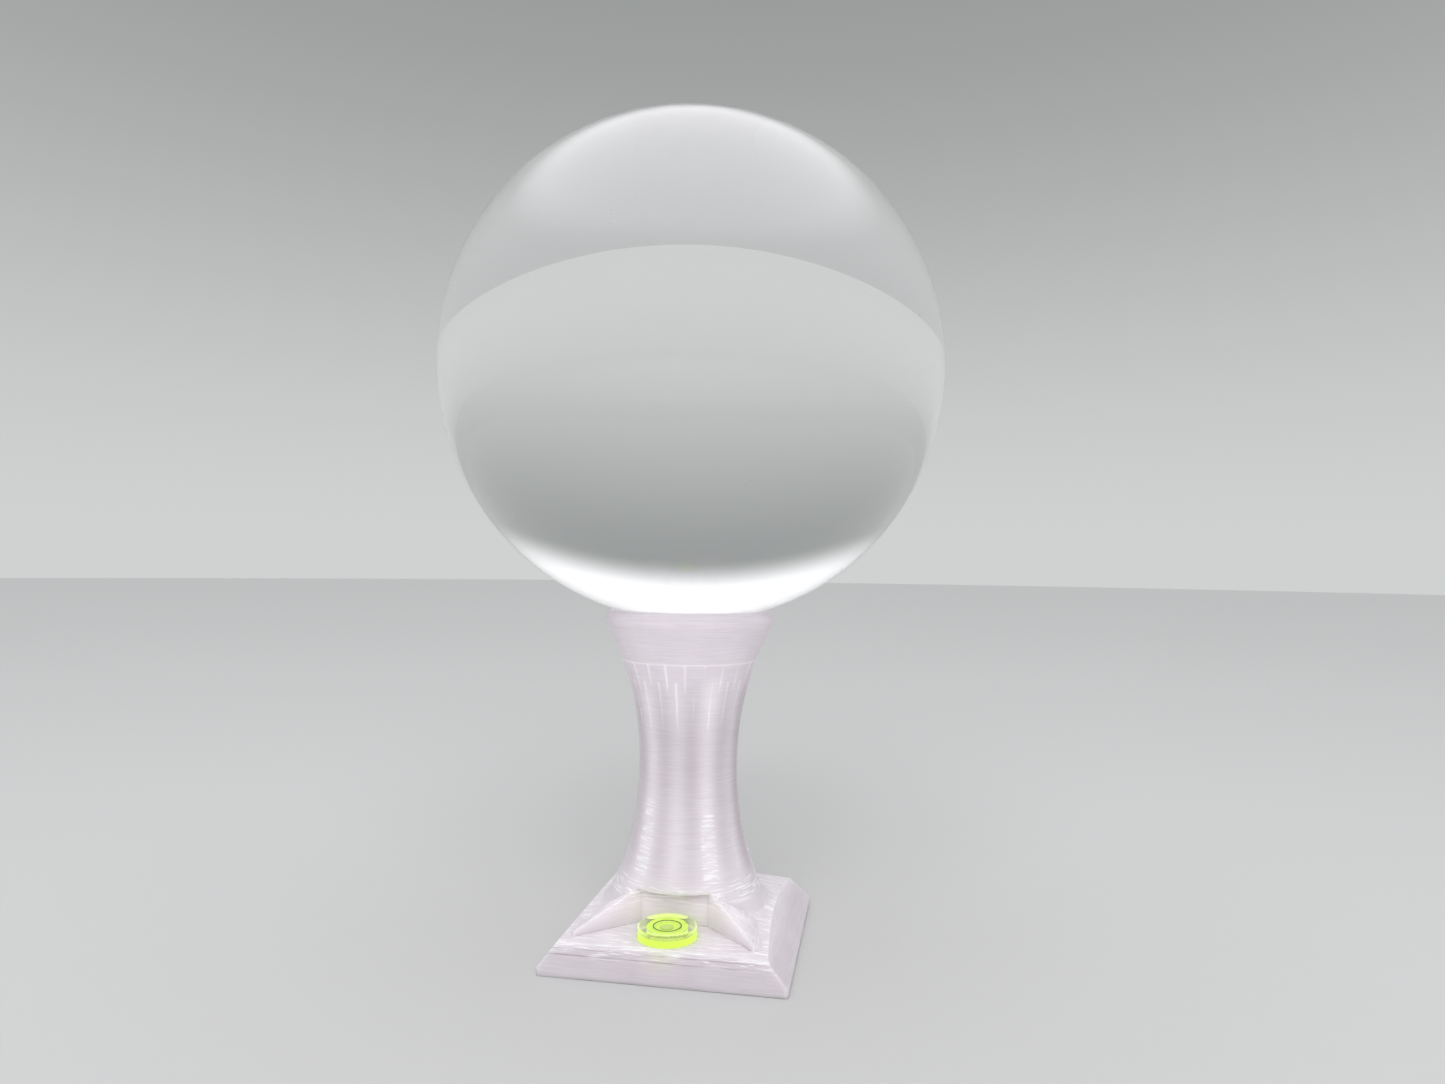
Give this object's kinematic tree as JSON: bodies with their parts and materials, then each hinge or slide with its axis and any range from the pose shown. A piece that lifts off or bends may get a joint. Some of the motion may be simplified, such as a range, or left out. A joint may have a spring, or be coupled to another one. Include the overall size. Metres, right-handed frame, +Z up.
{
  "type": "crystal ball on stand",
  "caption": "Solid crystal ball resting in the collar of a flared, square-footed printed stand with a round bullseye level in a bay at the front.",
  "frame": {"origin": "centre of the square plinth's underside, on the surface it stands on", "axes": "+Z up through the column and the ball; -Y towards the front, where the level is; +X to the right"},
  "size_m": [0.11, 0.11, 0.1793],
  "materials": {
    "crystal": "polished clear crystal",
    "printed_plastic": "translucent natural print with fine layer lines",
    "clear_acrylic": "clear moulded acrylic",
    "ink": "black printed ring",
    "level_liquid": "fluorescent yellow-green liquid",
    "air": "air bubble",
    "adhesive": "clear double-sided foam pad"
  },
  "bodies": {
    "stand": {"printed_stand": "printed_plastic", "level_cup": "clear_acrylic", "level_lens": "clear_acrylic", "level_target_ring": "ink", "level_liquid": "level_liquid", "level_adhesive_pad": "adhesive"},
    "ball": {"glass_ball": "crystal"},
    "bubble": {"level_bubble": "air"}
  },
  "joints": [
    {"name": "ball_lift", "type": "slide", "parent": "stand", "child": "ball", "axis": [0, 0, 1], "range_m": [0, 0.06]},
    {"name": "bubble_drift", "type": "slide", "parent": "stand", "child": "bubble", "axis": [0, 1, 0], "range_m": [-0.0023, 0.0032]}
  ]
}
